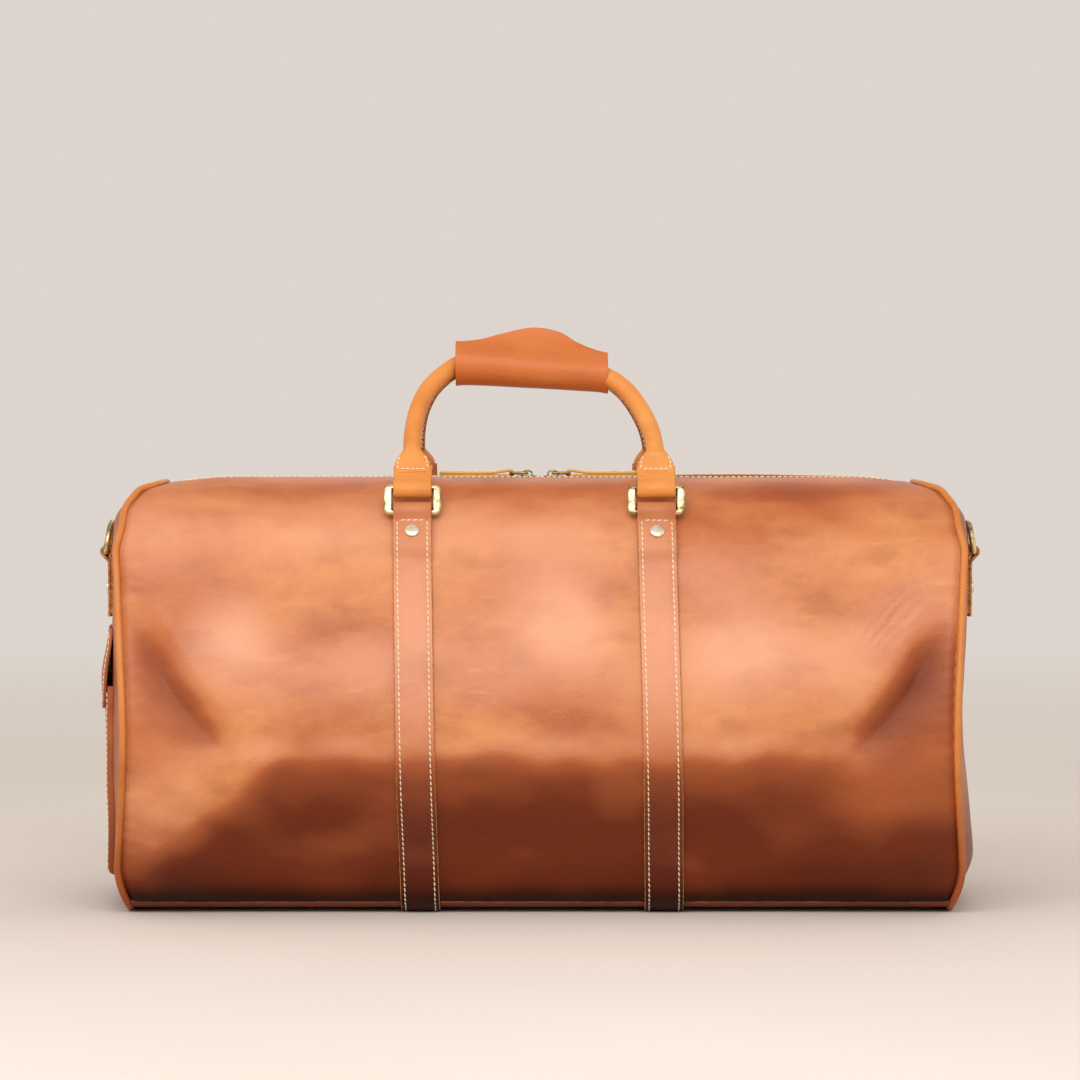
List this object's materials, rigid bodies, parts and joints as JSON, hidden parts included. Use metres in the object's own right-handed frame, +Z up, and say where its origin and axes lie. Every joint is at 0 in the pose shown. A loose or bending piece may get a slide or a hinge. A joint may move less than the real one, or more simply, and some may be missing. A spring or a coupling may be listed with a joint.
{
  "type": "weekender bag",
  "caption": "Soft leather duffel bag with twin rolled handles on rings, a handle wrap, a two-way zipper, base straps, end rings and an end pocket.",
  "frame": {"origin": "middle of the bag on the surface it stands on", "axes": "+X along the bag to the right end, +Y to the rear, +Z up; the front face looks towards -Y"},
  "size_m": [0.5804, 0.2458, 0.3756],
  "materials": {
    "body_leather": "waxy pull-up leather, cognac",
    "strap_leather": "waxy strap leather with raw edges",
    "piping_leather": "rolled piping leather",
    "raw_edge_leather": "raw cut edge, tan",
    "handle_leather": "rolled handle leather, lighter tan",
    "wrap_leather": "handle wrap leather",
    "pull_leather": "folded tan leather",
    "rope_core": "twisted cotton rope",
    "lining_cloth": "woven cotton twill",
    "board": "pressed fibre board",
    "zipper_tape": "woven zipper tape, dark brown",
    "zipper_brass": "antique brass",
    "antique_brass": "antique brass, pale where rubbed",
    "rivet_brass": "pale polished brass"
  },
  "bodies": {
    "bag": {"base_board": "board", "bottom_panel": "body_leather", "dring_rivets": "rivet_brass", "end_pocket": "body_leather", "front_bottom_welt": "raw_edge_leather", "front_left_ring_tab": "strap_leather", "front_panel": "body_leather", "front_right_ring_tab": "strap_leather", "front_zipper_tape": "zipper_tape", "front_zipper_teeth": "zipper_brass", "left_dring_tab": "strap_leather", "left_end_panel": "body_leather", "left_piping": "piping_leather", "left_strap": "strap_leather", "lining": "lining_cloth", "rear_bottom_welt": "raw_edge_leather", "rear_left_ring_tab": "strap_leather", "rear_panel": "body_leather", "rear_right_ring_tab": "strap_leather", "rear_zipper_tape": "zipper_tape", "rear_zipper_teeth": "zipper_brass", "right_dring_tab": "strap_leather", "right_end_panel": "body_leather", "right_piping": "piping_leather", "right_strap": "strap_leather", "strap_rivets": "rivet_brass", "zipper_stops": "zipper_brass"},
    "left_slider": {"left_slider": "zipper_brass"},
    "right_slider": {"right_slider": "zipper_brass"},
    "left_pull": {"left_pull_ring": "zipper_brass", "left_pull_tab": "pull_leather"},
    "right_pull": {"right_pull_ring": "zipper_brass", "right_pull_tab": "pull_leather"},
    "front_rings": {"front_left_ring": "antique_brass", "front_right_ring": "antique_brass"},
    "rear_rings": {"rear_left_ring": "antique_brass", "rear_right_ring": "antique_brass"},
    "front_handle": {"front_handle_cover": "handle_leather", "front_handle_core": "rope_core", "front_left_chape": "strap_leather", "front_right_chape": "strap_leather", "handle_wrap": "wrap_leather"},
    "rear_handle": {"rear_handle_cover": "handle_leather", "rear_handle_core": "rope_core", "rear_left_chape": "strap_leather", "rear_right_chape": "strap_leather"},
    "wrap_flap": {"wrap_flap": "wrap_leather", "wrap_snap": "antique_brass"},
    "left_dring": {"left_dring": "antique_brass"},
    "right_dring": {"right_dring": "antique_brass"},
    "pocket_flap": {"pocket_flap": "body_leather", "pocket_flap_snap": "antique_brass"}
  },
  "joints": [
    {"name": "left_slider_travel", "type": "slide", "parent": "bag", "child": "left_slider", "axis": [-1, 0, 0], "range_m": [0, 0.225]},
    {"name": "right_slider_travel", "type": "slide", "parent": "bag", "child": "right_slider", "axis": [1, 0, 0], "range_m": [0, 0.225]},
    {"name": "left_pull_lift", "type": "hinge", "parent": "left_slider", "child": "left_pull", "pos_m": [-0.0085, 0, 0.2843], "axis": [0, 1, 0], "range_deg": [0, 50]},
    {"name": "right_pull_lift", "type": "hinge", "parent": "right_slider", "child": "right_pull", "pos_m": [0.0085, 0, 0.2843], "axis": [0, -1, 0], "range_deg": [0, 50]},
    {"name": "front_ring_swing", "type": "hinge", "parent": "bag", "child": "front_rings", "pos_m": [0, -0.07805, 0.25904], "axis": [1, 0, 0], "range_deg": [0, 90]},
    {"name": "rear_ring_swing", "type": "hinge", "parent": "bag", "child": "rear_rings", "pos_m": [0, 0.07805, 0.25904], "axis": [-1, 0, 0], "range_deg": [0, 90]},
    {"name": "front_handle_fold", "type": "hinge", "parent": "front_rings", "child": "front_handle", "pos_m": [0, -0.07292, 0.27314], "axis": [1, 0, 0], "range_deg": [0, 95]},
    {"name": "rear_handle_fold", "type": "hinge", "parent": "rear_rings", "child": "rear_handle", "pos_m": [0, 0.07292, 0.27314], "axis": [-1, 0, 0], "range_deg": [0, 95]},
    {"name": "wrap_flap_lift", "type": "hinge", "parent": "front_handle", "child": "wrap_flap", "pos_m": [-0.00225, -0.0054, 0.36165], "axis": [0.9983, 0, -0.0576], "range_deg": [0, 50]},
    {"name": "left_dring_swing", "type": "hinge", "parent": "bag", "child": "left_dring", "pos_m": [-0.2858, 0, 0.231], "axis": [0, -1, 0], "range_deg": [0, 120]},
    {"name": "right_dring_swing", "type": "hinge", "parent": "bag", "child": "right_dring", "pos_m": [0.2858, 0, 0.231], "axis": [0, 1, 0], "range_deg": [0, 120]},
    {"name": "pocket_flap_lift", "type": "hinge", "parent": "bag", "child": "pocket_flap", "pos_m": [-0.2826, 0, 0.183], "axis": [0, 1, 0], "range_deg": [0, 110]}
  ]
}
